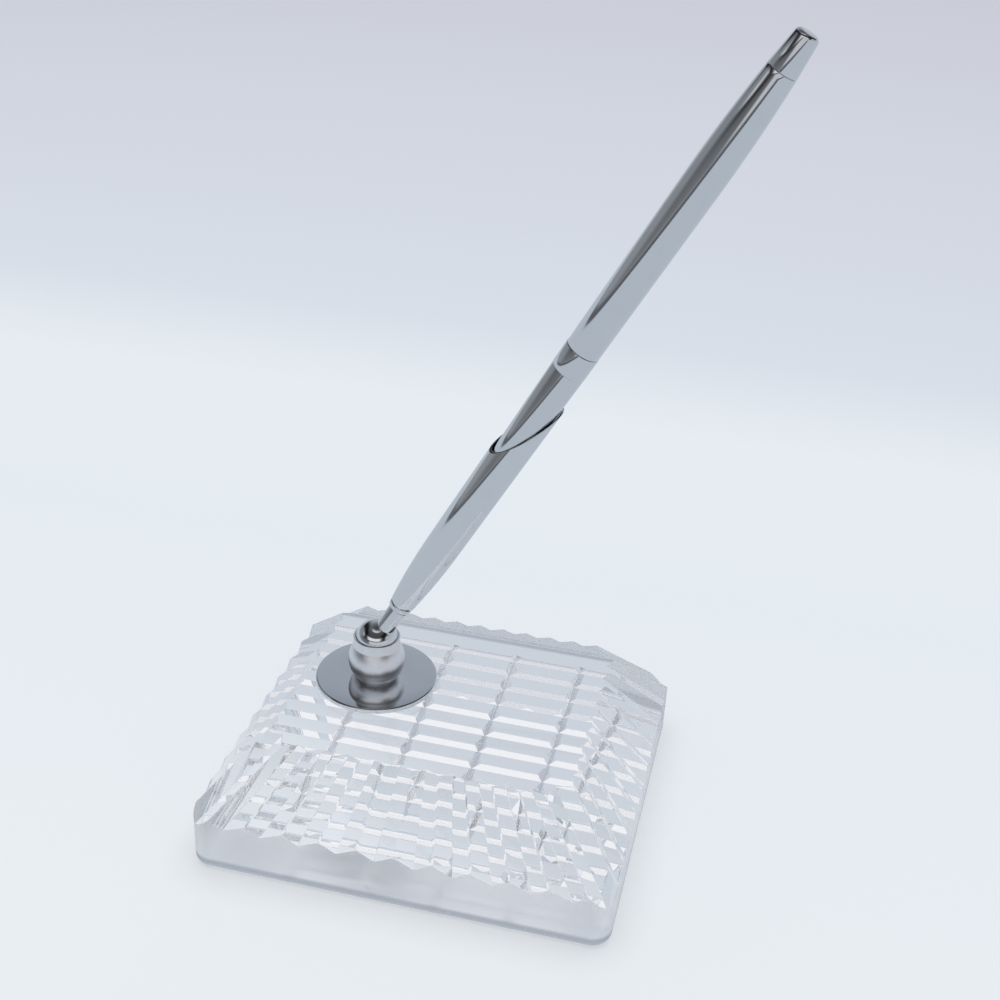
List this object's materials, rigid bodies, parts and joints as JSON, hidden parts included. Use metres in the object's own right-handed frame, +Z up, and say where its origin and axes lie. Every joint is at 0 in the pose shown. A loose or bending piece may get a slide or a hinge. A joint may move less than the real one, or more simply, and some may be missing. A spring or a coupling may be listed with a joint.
{
  "type": "desk pen stand",
  "caption": "Clear cut-glass desk base with a chrome disc and a ball-and-socket funnel that holds a slim twist-action ball pen at a lean.",
  "frame": {"origin": "middle of the glass base's underside, on the plane it rests on", "axes": "+Z up, +X to the right along the base's front edge, which is the way the pen leans, +Y to the back"},
  "size_m": [0.1108, 0.085, 0.1841],
  "materials": {
    "cut_glass": "polished",
    "clear_bond": "clear",
    "polished_chrome": "mirror",
    "pen_chrome": "mirror",
    "plain_steel": "plain",
    "white_nylon": "matte",
    "turned_brass": "turned",
    "black_acetal": "matte",
    "refill_tin": "drawn"
  },
  "bodies": {
    "stand": {"glass_base": "cut_glass", "bond_pad": "clear_bond", "mount_disc": "polished_chrome", "socket_screw": "plain_steel", "socket_cup": "polished_chrome", "spring_washer": "plain_steel"},
    "swivel_seat": {"pressure_pad": "white_nylon"},
    "holder": {"ball_stem": "polished_chrome", "neck_ring": "polished_chrome", "stem_nut": "plain_steel", "funnel": "polished_chrome", "nose_seat": "white_nylon"},
    "pen": {"pen_nose": "pen_chrome", "front_barrel": "pen_chrome", "centre_band": "pen_chrome", "twist_housing": "turned_brass"},
    "pen_top": {"upper_barrel": "pen_chrome", "end_cap": "pen_chrome", "drive_nut": "turned_brass"},
    "refill": {"spindle": "black_acetal", "refill_tube": "refill_tin", "refill_tip": "turned_brass"}
  },
  "joints": [
    {"name": "holder_swivel", "type": "hinge", "parent": "stand", "child": "swivel_seat", "pos_m": [-0.0176, 0, 0.0395], "axis": [0, 0, 1], "continuous": true},
    {"name": "holder_tilt", "type": "hinge", "parent": "swivel_seat", "child": "holder", "pos_m": [-0.0176, 0, 0.0395], "axis": [0, 1, 0], "range_deg": [-28.8, 21.2]},
    {"name": "pen_lift", "type": "slide", "parent": "holder", "child": "pen", "axis": [0.4818, 0, 0.8763], "range_m": [0, 0.06]},
    {"name": "pen_twist", "type": "hinge", "parent": "pen", "child": "pen_top", "pos_m": [-0.0176, 0, 0.0395], "axis": [0.4818, 0, 0.8763], "range_deg": [0, 180]},
    {"name": "refill_slide", "type": "slide", "parent": "pen", "child": "refill", "axis": [-0.4818, 0, -0.8763], "range_m": [0, 0.005]}
  ],
  "couplings": [
    {"joint": "refill_slide", "follows": "pen_twist", "m_per_rad": 0.00159}
  ]
}
